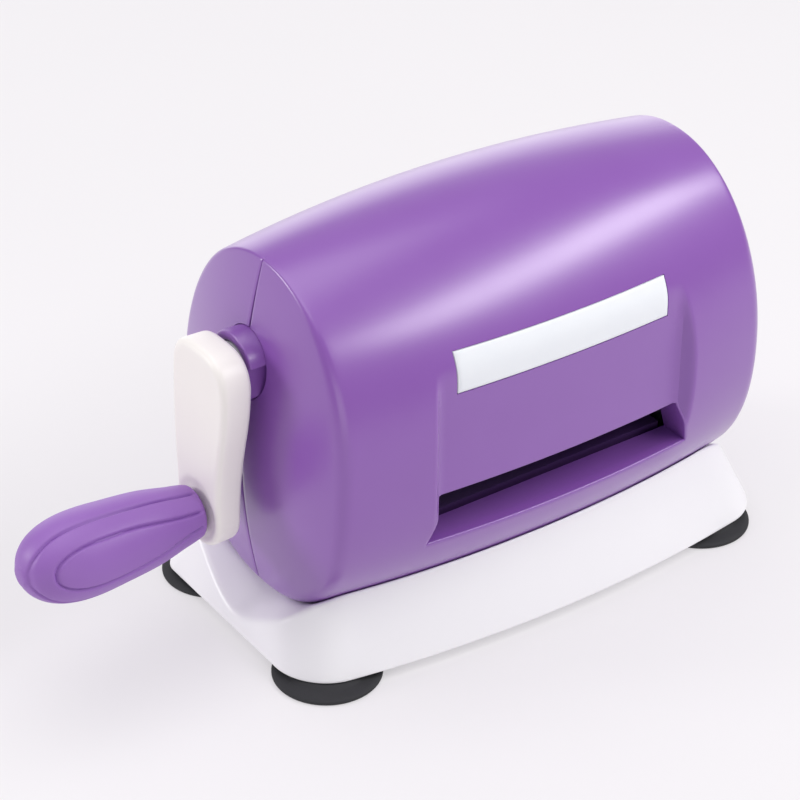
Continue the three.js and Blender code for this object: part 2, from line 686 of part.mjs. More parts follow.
// Arm outline in Y-Z: squarish hub, waisted front side, straight rear side and round pad
function armShape() {
  const { hubZ, hubHalf, hubPower, padR, waist, waistZ } = ARM;
  const points = [];
  for (let step = 0; step <= 16; step++) {
    const turn = (step / 16) * Math.PI;
    const y = hubHalf * Math.sign(Math.cos(turn)) * Math.abs(Math.cos(turn)) ** (2 / hubPower);
    points.push([y, hubZ + hubHalf * Math.sin(turn) ** (2 / hubPower)]);
  }
  const front = new THREE.CubicBezierCurve(
    new THREE.Vector2(-hubHalf, hubZ),
    new THREE.Vector2(-hubHalf, hubZ - 18),
    new THREE.Vector2(-waist, waistZ + 10),
    new THREE.Vector2(GRIP.y - padR, GRIP.z),
  );
  for (const p of front.getPoints(7).slice(1, -1)) points.push([p.x, p.y]);
  for (let step = 0; step <= 12; step++) {
    const turn = Math.PI * (1 + step / 12);
    points.push([GRIP.y + padR * Math.cos(turn), GRIP.z + padR * Math.sin(turn)]);
  }
  const rear = new THREE.CubicBezierCurve(
    new THREE.Vector2(GRIP.y + padR, GRIP.z),
    new THREE.Vector2(GRIP.y + padR, GRIP.z + 14),
    new THREE.Vector2(hubHalf, hubZ - 34),
    new THREE.Vector2(hubHalf, hubZ),
  );
  for (const p of rear.getPoints(6).slice(1, -1)) points.push([p.x, p.y]);
  return shapeOf(points);
}

// The arm leans outwards and thins a little towards the grip, so it stands clear of the base
function leanOutwards(geometry) {
  const position = geometry.attributes.position;
  for (let k = 0; k < position.count; k++) {
    const share = THREE.MathUtils.clamp((CRANK_Z - position.getZ(k)) / (CRANK_Z - GRIP.z), 0, 1);
    const depth = (position.getX(k) - ARM.inX) * (1 - ARM.thinning * share);
    position.setX(k, ARM.inX + depth - ARM.splay * share);
  }
  return geometry;
}

function crankArm() {
  const { inX, thick, edge } = ARM;
  const geometry = new THREE.ExtrudeGeometry(armShape(), {
    depth: thick - 2 * edge,
    bevelThickness: edge,
    bevelSize: edge,
    bevelOffset: -edge,
    bevelSegments: 1,
    curveSegments: 8,
  });
  geometry.applyMatrix4(PROFILE_YZ).translate(inX - thick + edge, 0, 0);
  const body = toSolid(leanOutwards(geometry));
  const shaftHole = barX(SHAFT.radius + GAP, SHAFT.outX - GAP, inX + 20, 0, CRANK_Z);
  const spindleHole = barX(GRIP.spindle + GAP, -160, SPINDLE_IN_X + GAP, GRIP.y, GRIP.z);
  const grubHole = new THREE.CylinderGeometry(GRUB.radius + GAP, GRUB.radius + GAP, 30, 10);
  grubHole.translate(GRUB.x, 15 + SHAFT.radius, CRANK_Z);
  return body.subtract(toSolid(shaftHole)).subtract(toSolid(spindleHole)).subtract(toSolid(grubHole));
}

// Egg-shaped grip, fattest two thirds of the way out
function gripBody() {
  const { y, z, rootX, length, spindle, snapHead } = GRIP;
  const outline = new THREE.SplineCurve(GRIP_OUTLINE.map(([s, r]) => new THREE.Vector2(r, s)));
  const profile = outline.getPoints(14).map((p) => [Math.max(p.x, 0), rootX - p.y]).reverse();
  profile[0][0] = 0;
  const body = toSolid(turnedX([...profile, [0, rootX]], y, z, 20));
  const bore = barX(spindle + GAP, rootX + 1, rootX - SNAP.from - 1, y, z);
  const pocket = barX(snapHead + GAP, rootX - SNAP.from, rootX - SNAP.to, y, z);
  return body.subtract(toSolid(bore)).subtract(toSolid(pocket));
}

function gripSpindle() {
  const { y, z, rootX, spindle, snapHead } = GRIP;
  const shoulder = rootX - SNAP.from - GAP;
  const end = rootX - SNAP.to + GAP;
  const profile = [
    [0, end], [spindle - 0.5, end], [snapHead, shoulder - 2], [snapHead, shoulder],
    [spindle, shoulder], [spindle, SPINDLE_IN_X], [0, SPINDLE_IN_X],
  ];
  return turnedX(profile, y, z, 14);
}

function addCrank() {
  addPiece("crank_collar", collar(), PURPLE);
  addPiece("crank_collar_bush", collarBush(), GREY);
  addPiece("crank_frame_bush", frameBush(-1, CRANK_Z), BRONZE);
  addPiece("crank_shaft", crankShaft(), STEEL);
  addPiece("crank_arm", crankArm(), CREAM);
  const grub = new THREE.CylinderGeometry(GRUB.radius, GRUB.radius, GRUB.length, 10);
  grub.translate(GRUB.x, SHAFT.radius + GAP + GRUB.length / 2, CRANK_Z);
  addPiece("crank_grub_screw", grub, STEEL);
  addPiece("grip_spindle", gripSpindle(), STEEL);
  addPiece("grip", gripBody(), PURPLE);
}

addHousing();
addBase();
addFrames();
addRollers();
addCrank();

// Origin on the ground under the middle of the machine's full length
const LOW_X = GRIP.rootX - GRIP.length;
const HIGH_X = BARREL.endX;
machine.position.x = -(LOW_X + HIGH_X) / 2;

const part = new THREE.Group();
part.add(machine);

export default part;
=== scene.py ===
"""Looks of a hand-cranked die cutting machine: purple barrel housing on a white base, arm and egg grip.

Shapes are worked out in millimetres in the machine's own frame (x = 0 at the barrel's middle, z = 0 on the
table) and moved to the row frame when each mesh is written.
"""

import math

import bmesh
import bpy
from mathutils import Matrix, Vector


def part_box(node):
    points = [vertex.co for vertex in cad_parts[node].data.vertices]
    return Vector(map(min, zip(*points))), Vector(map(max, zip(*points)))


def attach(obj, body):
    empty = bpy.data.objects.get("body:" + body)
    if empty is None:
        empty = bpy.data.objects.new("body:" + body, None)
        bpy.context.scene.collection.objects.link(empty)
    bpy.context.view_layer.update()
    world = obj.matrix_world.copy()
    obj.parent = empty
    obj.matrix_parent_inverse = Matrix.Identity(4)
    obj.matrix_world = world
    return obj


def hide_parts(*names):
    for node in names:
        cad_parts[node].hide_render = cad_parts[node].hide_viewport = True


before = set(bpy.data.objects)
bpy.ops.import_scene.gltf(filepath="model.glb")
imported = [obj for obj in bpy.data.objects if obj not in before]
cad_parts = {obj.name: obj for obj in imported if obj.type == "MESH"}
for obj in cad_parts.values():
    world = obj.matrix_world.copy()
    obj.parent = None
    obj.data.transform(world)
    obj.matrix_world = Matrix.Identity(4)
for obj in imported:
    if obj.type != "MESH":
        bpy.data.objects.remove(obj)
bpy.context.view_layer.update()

MM = 0.001
shell_low, shell_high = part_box("front_shell")
MID_X = (shell_low.x + shell_high.x) / 2  # the barrel's middle, in the row frame
END_X = (shell_high.x - shell_low.x) / 2 / MM

# ---------------------------------------------------------------- driving dimensions, mm
BARREL_Z = 93.8
HALF_Y, HALF_Z = 67.9, 81.0
TAPER_Y, TAPER_Z = 8.75, 6.2  # how much each half size shrinks at 100 mm from the middle
UPPER_POWER, LOWER_POWER = 2.1, 2.4
CROWN_Z = 82.3
DOME_Y, DOME_Z = 188.6, 284.7  # radii of the end caps
WALL = 3.0
SEAM_HALF = 0.36
WELD = 0.002  # points nearer than this are one point
CREASE_TOP, CREASE_SIDE = 0.9, 5.0  # the rounding between barrel and end cap, at the top and down the side

SLOT_LOW, SLOT_HIGH = 56.8, 76.5
SLOT_WIDE, SLOT_NARROW = 65.6, 59.7
SLOT_EDGE = 0.8
SLOT_COLUMN_END = 8.5  # how far past the slot the columns are packed closely
TUNNEL_Y = 46.0
RECESS_Y, RECESS_BOW = 61.0, 2.6
RECESS_IN, RECESS_OUT = 60.5, 66.0
RECESS_LEAD = 1.5  # how far before and after those the side wall's rounding reaches
RECESS_WALL, RECESS_FLARE = 9.0, 4.0

LABEL_X, LABEL_LOW, LABEL_HIGH = 51.7, 121.3, 138.0
LABEL_PROUD, LABEL_THICK, LABEL_EDGE = 0.2, 1.2, 0.25
LABEL_GAP, LABEL_BED_GAP = 0.4, 0.3  # room round the strip and behind it

CRANK_Z = 126.3
HUB_HOLE = 14.8
SHAFT_HOLE, SHAFT_HOLE_END = 6.3, -127.3  # radius of the arm's hole and how far out it reaches
RIGHT_CAP_Z, RIGHT_CAP_RADIUS = 92.0, 3.0  # the small circle where the right end cap's rows meet
WELLS = ((-45, 157), (45, 157), (-89, 62), (89, 62))  # x and z of the screw wells in the rear half
WELL_RADIUS, POST_RADIUS = 3.7, 5.4
SCREW_SEAT, SCREW_HOLE = 14.0, 1.9

BASE_LEFT, BASE_RIGHT = -122.4, 116.0
BASE_HALF_Y, BASE_BOW_X, BASE_BOW, BASE_TUCK = 69.0, 6.6, 8.6, 4.5
FRONT_CORNER, REAR_CORNER = 20.0, 9.0
BASE_LOW, BASE_TOP = 4.5, 39.0
FLANK_IN, END_IN = 13.0, 12.0
BASE_WALL, BASE_INSIDE_TOP = 3.0, 8.0
BASE_FOOT_IN, BASE_FOOT_UP = 1.2, 1.4  # the rounding along the lower edge
RIM_DOWN, RIM_IN, END_RIM_IN = 2.0, 0.8, 2.2  # the rounding over the rim, wider at the ends
SHELF_IN, END_SHELF_IN = 14, 26  # how far the upper surface reaches inwards
CRADLE_GAP = 0.4
SADDLE_LOW, SADDLE_RISE, SADDLE_HALF, SADDLE_SLOPE, SADDLE_EDGE_IN = 10.0, 29.0, 47.0, 0.35, 25.0
SADDLE_LEFT, SADDLE_RIGHT = -121.5, 114.5

ARM_IN, ARM_THICK, ARM_THINNING, ARM_SPLAY = -118.0, 14.0, 0.14, 4.6
HUB_Z, HUB_HALF, HUB_POWER, PAD_RADIUS, ARM_WAIST, WAIST_Z = 120.7, 19.4, 2.9, 15.7, 13.6, 84.0
ARM_DRAFT = 0.4
ARM_INNER_EDGE, ARM_OUTER_EDGE = 3.0, 3.0
COLLAR_INNER, COLLAR_OUTER, COLLAR_FRONT, COLLAR_BACK, COLLAR_FLAT = 10.5, 14.5, -116.0, -103.0, 3.0
GRIP_Y, GRIP_Z, GRIP_ROOT = 0.6, 66.4, -135.0
GRIP_LENGTH, GRIP_BORE, GRIP_BORE_DEPTH = 78.0, 4.3, 40.0
GROOVE_DEPTH, GROOVE_WIDTH = 1.2, 0.6
GRIP_OUTLINE = (
    (0, 8.8), (1.5, 10.8), (10, 12.8), (22, 15.3), (37, 16.8), (50, 17.6),
    (60, 16.8), (68, 14.3), (74, 9.9), (77.2, 4.6), (78, 0),
)


# ---------------------------------------------------------------- small tools
def lerp(a, b, share):
    return a + (b - a) * share


def clamp(value, low=0.0, high=1.0):
    return max(low, min(high, value))


def smooth_step(value):
    value = clamp(value)
    return value * value * (3 - 2 * value)


def soft_min(a, b, width):
    """The smaller of two heights, with their meeting line rounded over about that width."""
    share = clamp(0.5 + 0.5 * (b - a) / width)
    return lerp(b, a, share) - width * share * (1 - share)


def bezier(a, b, c, share):
    return a.lerp(b, share).lerp(b.lerp(c, share), share)


def cubic(a, b, c, d, share):
    return bezier(a, b, c, share).lerp(bezier(b, c, d, share), share)


def add_rows(bm, rows, wrap_columns=False, wrap_rows=False, skip=None):
    """Quads between rows of points. skip(row, column) leaves a quad out."""
    verts = [[bm.verts.new(p) for p in row] for row in rows]
    row_count = len(verts) if wrap_rows else len(verts) - 1
    for i in range(row_count):
        upper, lower = verts[i], verts[(i + 1) % len(verts)]
        column_count = len(upper) if wrap_columns else len(upper) - 1
        for j in range(column_count):
            if skip and skip(i, j):
                continue
            k = (j + 1) % len(upper)
            bm.faces.new((upper[j], upper[k], lower[k], lower[j]))
    return verts


def close_up(bm, weld=WELD):
    """Welds the mesh's matching points and turns its faces outwards."""
    bmesh.ops.remove_doubles(bm, verts=bm.verts, dist=weld)
    bmesh.ops.recalc_face_normals(bm, faces=bm.faces)


def new_piece(name, bm):
    """The mesh in bm as an object in the row frame, in metres."""
    bmesh.ops.remove_doubles(bm, verts=bm.verts, dist=WELD)
    loose = [v for v in bm.verts if not v.link_faces]
    bmesh.ops.delete(bm, geom=loose, context="VERTS")
    for v in bm.verts:
        v.co = Vector((v.co.x * MM + MID_X, v.co.y * MM, v.co.z * MM))
    mesh = bpy.data.meshes.new(name)
    bm.to_mesh(mesh)
    bm.free()
    piece = bpy.data.objects.new(name, mesh)
    bpy.context.scene.collection.objects.link(piece)
    return piece


def apply_modifiers(piece):
    bpy.context.view_layer.update()
    graph = bpy.context.evaluated_depsgraph_get()
    mesh = bpy.data.meshes.new_from_object(piece.evaluated_get(graph))
    piece.modifiers.clear()
    piece.data = mesh
    mesh.name = piece.name


def shade(piece, sharp_degrees=38):
    bm = bmesh.new()
    bm.from_mesh(piece.data)
    for face in bm.faces:
        face.smooth = True
    for edge in bm.edges:
        if len(edge.link_faces) == 2:
            edge.smooth = edge.calc_face_angle(0) < math.radians(sharp_degrees)
    bm.to_mesh(piece.data)
    bm.free()


def install(piece, material, body, stands_for, sharp_degrees=38):
    shade(piece, sharp_degrees)
    piece.data.materials.clear()
    piece.data.materials.append(material)
    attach(piece, body)
    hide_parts(*stands_for)
    return piece


def cut_away(piece, cutter):
    """Takes the cutter's volume out of the piece, then drops the cutter."""
    boolean = piece.modifiers.new("cut", "BOOLEAN")
    boolean.operation = "DIFFERENCE"
    boolean.solver = "EXACT"
    boolean.object = cutter
    apply_modifiers(piece)
    bpy.data.objects.remove(cutter)


def circle_turns(sides):
    return [2 * math.pi * k / sides for k in range(sides)]


def revolve_x(bm, profile, y, z, sides):
    """Turns a closed outline of (radius, x) pairs about the line through y, z along X."""
    rows = []
    for turn in circle_turns(sides):
        rows.append([Vector((x, y + r * math.cos(turn), z + r * math.sin(turn))) for r, x in profile])
    add_rows(bm, rows, wrap_columns=True, wrap_rows=True)


def revolve_z(bm, profile, x, y, sides):
    """Turns a closed outline of (radius, z) pairs about the upright line through x, y."""
    rows = []
    for turn in circle_turns(sides):
        rows.append([Vector((x + r * math.cos(turn), y + r * math.sin(turn), z)) for r, z in profile])
    add_rows(bm, rows, wrap_columns=True, wrap_rows=True)


def rounded(profile, radius, steps=4):
    """A closed outline with each corner rounded; a corner given a third value uses that radius instead."""
    result = []
    count = len(profile)
    for k in range(count):
        here = Vector(profile[k][:2])
        before = Vector(profile[k - 1][:2])
        after = Vector(profile[(k + 1) % count][:2])
        reach = profile[k][2] if len(profile[k]) > 2 else radius
        reach = min(reach, (before - here).length * 0.45, (after - here).length * 0.45)
        if reach < 0.01:
            result.append(tuple(here))
            continue
        start = here + (before - here).normalized() * reach
        end = here + (after - here).normalized() * reach
        for step in range(steps + 1):
            result.append(tuple(bezier(start, here, end, step / steps)))
    return result


# ---------------------------------------------------------------- materials
COAT_ROUGHNESS, COAT_IOR = 0.29, 1.6


def noise_bump(nodes, links, coords, scale, strength, distance, detail, under=None):
    """A bump from noise; where another bump lies under it, the two add up."""
    noise = nodes.new("ShaderNodeTexNoise")
    noise.inputs["Scale"].default_value = scale
    noise.inputs["Detail"].default_value = detail
    links.new(coords.outputs["Object"], noise.inputs["Vector"])
    bump = nodes.new("ShaderNodeBump")
    bump.inputs["Strength"].default_value = strength
    bump.inputs["Distance"].default_value = distance
    links.new(noise.outputs["Fac"], bump.inputs["Height"])
    if under:
        links.new(under.outputs["Normal"], bump.inputs["Normal"])
    return bump


def moulded(name, colour, other, roughness, grain=2600, grain_depth=0.00002, mottle=35, metallic=0.0,
            specular=0.5, rough_spread=0.06, coat=0.0, wave=0.0):
    """Plastic, rubber or metal: two close tones in a soft mottle, roughness that wanders, and a fine grain.

    grain_depth and wave are in metres; wave adds the slow unevenness of a large moulded face.
    """
    material = bpy.data.materials.new(name)
    material.use_nodes = True
    nodes, links = material.node_tree.nodes, material.node_tree.links
    shader = nodes["Principled BSDF"]
    shader.inputs["Metallic"].default_value = metallic
    shader.inputs["Specular IOR Level"].default_value = specular
    shader.inputs["Coat Weight"].default_value = coat
    shader.inputs["Coat Roughness"].default_value = COAT_ROUGHNESS
    shader.inputs["Coat IOR"].default_value = COAT_IOR
    coords = nodes.new("ShaderNodeTexCoord")

    cloud = nodes.new("ShaderNodeTexNoise")
    cloud.inputs["Scale"].default_value = mottle
    cloud.inputs["Detail"].default_value = 4.0
    links.new(coords.outputs["Object"], cloud.inputs["Vector"])
    tones = nodes.new("ShaderNodeMix")
    tones.data_type = "RGBA"
    tones.inputs["A"].default_value = (*colour, 1)
    tones.inputs["B"].default_value = (*other, 1)
    links.new(cloud.outputs["Fac"], tones.inputs["Factor"])
    links.new(tones.outputs["Result"], shader.inputs["Base Color"])

    wander = nodes.new("ShaderNodeMapRange")
    wander.inputs["To Min"].default_value = roughness - rough_spread
    wander.inputs["To Max"].default_value = roughness + rough_spread
    links.new(cloud.outputs["Fac"], wander.inputs["Value"])
    links.new(wander.outputs["Result"], shader.inputs["Roughness"])

    slow = noise_bump(nodes, links, coords, 14, 1.0, wave, 1.0) if wave else None
    fine = noise_bump(nodes, links, coords, grain, 0.6, grain_depth, 3.0, slow)
    links.new(fine.outputs["Normal"], shader.inputs["Normal"])
    return material


def srgb(red, green, blue):
    """An sRGB colour, 0 to 255, as the linear numbers a shader takes."""
    def linear(value):
        value /= 255
        return value / 12.92 if value <= 0.04045 else ((value + 0.055) / 1.055) ** 2.4

    return linear(red), linear(green), linear(blue)


def make_materials():
    return {
        "housing_purple": moulded(
            "housing_plastic", srgb(134, 81, 169), srgb(138, 86, 174), 0.34, grain=2200,
            grain_depth=0.00003, coat=0.85, wave=0.0001, specular=0.35,
        ),
        # The feed tables get a darker purple than the housing: painted shade for the dark deep inside the
        # slot.
        "feed_table_purple": moulded(
            "feed_table_plastic_painted_shade", srgb(70, 38, 96), srgb(74, 42, 100), 0.6, grain=1800, grain_depth=0.00004,
        ),
        "grip_purple": moulded(
            "grip_plastic", srgb(146, 99, 181), srgb(151, 105, 186), 0.46, grain=1800, grain_depth=0.00004,
        ),
        "label_strip": moulded(
            "label_strip_satin", srgb(239, 241, 245), srgb(235, 238, 243), 0.62, grain=3000,
            grain_depth=0.00001, mottle=120, specular=0.25,
        ),
        "base_white": moulded(
            "base_plastic", srgb(246, 244, 247), srgb(243, 241, 245), 0.34, grain=2400, grain_depth=0.00002,
            coat=0.15, wave=0.00005,
        ),
        "plate_grey": moulded("base_plate_plastic", srgb(190, 190, 196), srgb(180, 180, 186), 0.55),
        "arm_cream": moulded(
            "arm_plastic", srgb(248, 243, 240), srgb(244, 238, 235), 0.42, grain=2000, grain_depth=0.00003,
        ),
        "frame_steel": moulded(
            "plated_steel", srgb(158, 162, 168), srgb(140, 144, 150), 0.42, metallic=1.0, mottle=90,
            rough_spread=0.1,
        ),
        "roller_steel": moulded(
            "ground_steel", srgb(196, 198, 202), srgb(178, 180, 185), 0.26, metallic=1.0, grain=5000,
            grain_depth=0.00001, mottle=60,
        ),
        "fastener_steel": moulded(
            "zinc_plated_steel", srgb(186, 188, 190), srgb(168, 170, 168), 0.36, metallic=1.0, mottle=300,
        ),
        "gear_nylon": moulded("gear_nylon", srgb(222, 221, 214), srgb(210, 208, 200), 0.5),
        "bush_bronze": moulded(
            "oiled_bronze", srgb(170, 128, 72), srgb(140, 102, 56), 0.4, metallic=1.0, mottle=400,
            rough_spread=0.12,
        ),
        "bush_grey": moulded("bush_plastic", srgb(204, 204, 208), srgb(192, 192, 197), 0.45),
        "foot_rubber": moulded(
            "foot_rubber", srgb(44, 44, 47), srgb(54, 54, 57), 0.72, grain=900, grain_depth=0.00012,
            mottle=80, specular=0.35,
        ),
    }


# ---------------------------------------------------------------- barrel surface
def half_sizes(x, inset=0.0):
    share = (x / 100) ** 2
    return HALF_Y - TAPER_Y * share - inset, HALF_Z - TAPER_Z * share - inset


def barrel_point(x, angle, inset=0.0):
    """(distance from the seam plane, z) on the barrel, for an angle from -90 degrees, the bottom, to 90."""
    half_y, half_z = half_sizes(x, inset)
    sine, cosine = math.sin(angle), max(math.cos(angle), 0.0)
    power = UPPER_POWER if sine > 0 else LOWER_POWER
    return half_y * cosine ** (2 / power), BARREL_Z + math.copysign(half_z * abs(sine) ** (2 / power), sine)


def barrel_angle(x, z):
    """The angle at which barrel_point reaches height z."""
    rise = (z - BARREL_Z) / half_sizes(x)[1]
    power = UPPER_POWER if rise > 0 else LOWER_POWER
    return math.copysign(math.asin(clamp(abs(rise) ** (power / 2))), rise)


def barrel_y(x, z):
    return barrel_point(x, barrel_angle(x, z))[0]


def barrel_underside(x, y, inset):
    """Height of the barrel's lower surface at x, y, or None beside the barrel."""
    half_y, half_z = half_sizes(x, inset)
    share = abs(y) / half_y
    if share >= 1:
        return None
    return BARREL_Z - half_z * (1 - share**LOWER_POWER) ** (1 / LOWER_POWER)


def dome_x(y, z):
    return END_X - (z - CROWN_Z) ** 2 / (2 * DOME_Z) - y**2 / (2 * DOME_Y)


def recess_y(x):
    """Distance of the recess floor from the seam plane; its side walls sweep out beyond the barrel."""
    reach = abs(x)
    floor = RECESS_Y - RECESS_BOW * min(reach / RECESS_IN, 1.0) ** 2
    rise = (reach - RECESS_IN + RECESS_LEAD) / (RECESS_OUT - RECESS_IN + 2 * RECESS_LEAD)
    return floor + RECESS_WALL * smooth_step(rise) + RECESS_FLARE * max(rise - 1, 0.0)


def front_y(x, z):
    """The housing's front face above the slot's lower lip, recess included."""
    return soft_min(barrel_y(x, z), recess_y(x), 1.8)


def slot_half(z):
    share = clamp((z - SLOT_LOW) / (SLOT_HIGH - SLOT_LOW))
    return lerp(SLOT_WIDE, SLOT_NARROW, share) + SLOT_EDGE


# ---------------------------------------------------------------- housing halves
# Distance from the seam plane and drop of each row in the rounded lip. The joint shows on the end caps.
SEAM_STEPS = ((SEAM_HALF, 0.6), (SEAM_HALF + 0.14, 0.22), (SEAM_HALF + 0.6, 0.0))
BARREL_SEAM_HALF, BARREL_SEAM_DROP = 0.006, 0.01  # along the barrel it is tight; the drop is a share
LOW_ROWS, SLOT_ROWS, HIGH_ROWS = 44, 10, 84
CORE_STEPS, WALL_STEPS, SIDE_STEPS, CREASE_STEPS, DOME_STEPS = 30, 10, 14, 7, 16


def cap_share(x):
    """0 along the barrel, rising to 1 where the seam reaches an end cap."""
    return smooth_step((abs(x) - END_X + 9) / 5)


def seam_row(end, y, drop):
    """A row along the seam's lip, over the barrel's top (end 1) or under it (end -1)."""
    def at(x):
        half_y, half_z = half_sizes(x)
        power = UPPER_POWER if end > 0 else LOWER_POWER
        near = y - (SEAM_HALF - BARREL_SEAM_HALF) * (1 - cap_share(x))
        return near, BARREL_Z + end * half_z * (1 - (near / half_y) ** power) ** (1 / power)

    return {"at": at, "kind": "seam", "end": end, "y": y, "drop": drop}


def angle_row(kind, share):
    """A row below, through or above the slot's band of heights."""
    lower_edge, upper_edge = SLOT_LOW - SLOT_EDGE, SLOT_HIGH + SLOT_EDGE

    def at(x):
        if kind == "slot":
            z = lerp(lower_edge, upper_edge, share)
            return barrel_y(x, z), z
        if kind == "low":
            return barrel_point(x, lerp(-math.pi / 2, barrel_angle(x, lower_edge), share))
        return barrel_point(x, lerp(barrel_angle(x, upper_edge), math.pi / 2, share))

    return {"at": at, "kind": kind, "drop": 0.0}


def housing_rows():
    """All rows of one half, from the seam at the bottom round the outside to the seam at the top."""
    rows = [seam_row(-1, y, drop) for y, drop in SEAM_STEPS]
    rows += [angle_row("low", k / LOW_ROWS) for k in range(1, LOW_ROWS + 1)]
    rows += [angle_row("slot", k / SLOT_ROWS) for k in range(1, SLOT_ROWS + 1)]
    rows += [angle_row("high", k / HIGH_ROWS) for k in range(1, HIGH_ROWS)]
    rows += [seam_row(1, y, drop) for y, drop in reversed(SEAM_STEPS)]
    inner = [k for k, row in enumerate(rows) if row["kind"] != "seam"]
    for k, row in enumerate(rows):
        row["share"] = (k - inner[0]) / (inner[-1] - inner[0])
    return rows


def crease_point(row):
    """Where the row's line along the barrel meets the end cap, found by repeated closer guesses."""
    x = END_X - 4
    for _ in range(8):
        y, z = row["at"](x)
        x = dome_x(y, z)
    return Vector((x, *row["at"](x)))


def cap_target(row, centre_z, radius):
    """Where a row's line over the end cap ends, on a small circle round centre_z."""
    if row["kind"] == "seam":
        return row["y"], centre_z + row["end"] * math.sqrt(radius**2 - row["y"] ** 2)
    limit = math.acos(2.2 * SEAM_STEPS[-1][0] / radius)
    turn = lerp(-limit, limit, row["share"])
    return radius * math.cos(turn), centre_z + radius * math.sin(turn)


def end_columns(row, cap_z, cap_radius):
    """Points from the slot's end column to the cap's circle, for the end at +x."""
    crease = crease_point(row)
    angle = barrel_angle(crease.x, crease.z)
    reach = lerp(CREASE_SIDE, CREASE_TOP, smooth_step((angle - 0.1) / 1.35))
    target_y, target_z = cap_target(row, cap_z, cap_radius)
    inward = Vector((0, target_y - crease.y, target_z - crease.z))
    rounded_share = reach / inward.length
    side_x = crease.x - reach

    def on_side(x):
        y, z = row["at"](x)
        if row["kind"] in ("slot", "high"):
            y = min(y, front_y(x, z))
        lip = row["drop"] * lerp(BARREL_SEAM_DROP, 1, cap_share(x))
        return Vector((x, y, z - math.copysign(lip, z - BARREL_Z)))

    def on_cap(share):
        y, z = crease.y + inward.y * share, crease.z + inward.z * share
        return Vector((dome_x(y, z) - row["drop"], y, z))

    start = slot_half(row["at"](SLOT_NARROW)[1])
    wall_end = start + SLOT_COLUMN_END
    points = [on_side(lerp(start, wall_end, k / WALL_STEPS)) for k in range(WALL_STEPS)]
    points += [on_side(lerp(wall_end, side_x, k / SIDE_STEPS)) for k in range(SIDE_STEPS)]
    low, high = on_side(side_x), on_cap(rounded_share)
    corner = Vector((crease.x - row["drop"] * 0.7, crease.y, crease.z))
    if row["drop"]:
        corner.z -= math.copysign(row["drop"] * 0.7, crease.z - BARREL_Z)
    points += [bezier(low, corner, high, k / CREASE_STEPS) for k in range(CREASE_STEPS)]
    points += [on_cap(lerp(rounded_share, 1, k / DOME_STEPS)) for k in range(DOME_STEPS + 1)]
    return points


def core_columns(row):
    """Points between the slot's two end columns."""
    half = slot_half(row["at"](SLOT_NARROW)[1])
    points = []
    for k in range(-CORE_STEPS + 1, CORE_STEPS):
        x = half * k / CORE_STEPS
        y, z = row["at"](x)
        if row["kind"] in ("slot", "high"):
            y = min(y, front_y(x, z))
        points.append(Vector((x, y, z - math.copysign(row["drop"] * BARREL_SEAM_DROP, z - BARREL_Z))))
    return points


def slot_rings(loop):
    """The slot's rounded mouth and its tunnel, as rings that follow the loop of edge points inwards."""
    rings = []
    stages = [(SLOT_EDGE * math.sin(a), SLOT_EDGE * (1 - math.cos(a)))
              for a in (math.radians(d) for d in (0, 22, 45, 68, 90))]
    for sideways, depth in stages:
        ring = []
        for point in loop:
            half = slot_half(point.z)
            to_low = point.z < SLOT_LOW - SLOT_EDGE * 0.5
            to_high = point.z > SLOT_HIGH + SLOT_EDGE * 0.5
            at_end = abs(point.x) > half - 0.01
            x = point.x - math.copysign(sideways, point.x) * at_end
            z = point.z + sideways * to_low - sideways * to_high
            ring.append(Vector((x, point.y - depth, z)))
        rings.append(ring)
    last = rings[-1]
    for share in (0.3, 0.65, 1.0):
        rings.append([Vector((p.x, lerp(p.y, TUNNEL_Y, share), p.z)) for p in last])
    return rings


def housing_half(name, side):
    """One half of the housing: side -1 is the front half, 1 the rear half."""
    rows = housing_rows()
    table = []
    for row in rows:
        left = [Vector((-p.x, p.y, p.z)) for p in end_columns(row, CRANK_Z, HUB_HOLE)]
        right = end_columns(row, RIGHT_CAP_Z, RIGHT_CAP_RADIUS)
        table.append(left[::-1] + core_columns(row) + right)
    first_slot = len(SEAM_STEPS) + LOW_ROWS - 1
    end_count = WALL_STEPS + SIDE_STEPS + CREASE_STEPS + DOME_STEPS + 1
    first_core = end_count - 1
    last_core = first_core + 2 * CORE_STEPS

    def in_slot(i, j):
        return first_slot <= i < first_slot + SLOT_ROWS and first_core <= j < last_core

    bm = bmesh.new()
    add_rows(bm, table, skip=in_slot)
    bottom, top = first_slot, first_slot + SLOT_ROWS
    loop = [table[bottom][j] for j in range(first_core, last_core)]
    loop += [table[i][last_core] for i in range(bottom, top)]
    loop += [table[top][j] for j in range(last_core, first_core, -1)]
    loop += [table[i][first_core] for i in range(top, bottom, -1)]
    add_rows(bm, slot_rings(loop), wrap_columns=True)
    cap_centre = bm.verts.new((dome_x(0, RIGHT_CAP_Z) - 0.02, SEAM_HALF, RIGHT_CAP_Z))
    rim = [bm.verts.new(row[-1]) for row in table]
    for a, b in zip(rim, rim[1:]):
        bm.faces.new((a, b, cap_centre))
    for v in bm.verts:
        v.co.y *= side
    close_up(bm)
    bm.normal_update()
    outward = sum(f.normal.dot(f.calc_center_median() - Vector((0, 0, BARREL_Z))) for f in bm.faces)
    if outward < 0:
        bmesh.ops.reverse_faces(bm, faces=bm.faces)
    piece = new_piece(name, bm)
    solid = piece.modifiers.new("wall", "SOLIDIFY")
    solid.thickness = WALL * MM
    solid.offset = -1
    solid.use_even_offset = True
    apply_modifiers(piece)
    return piece


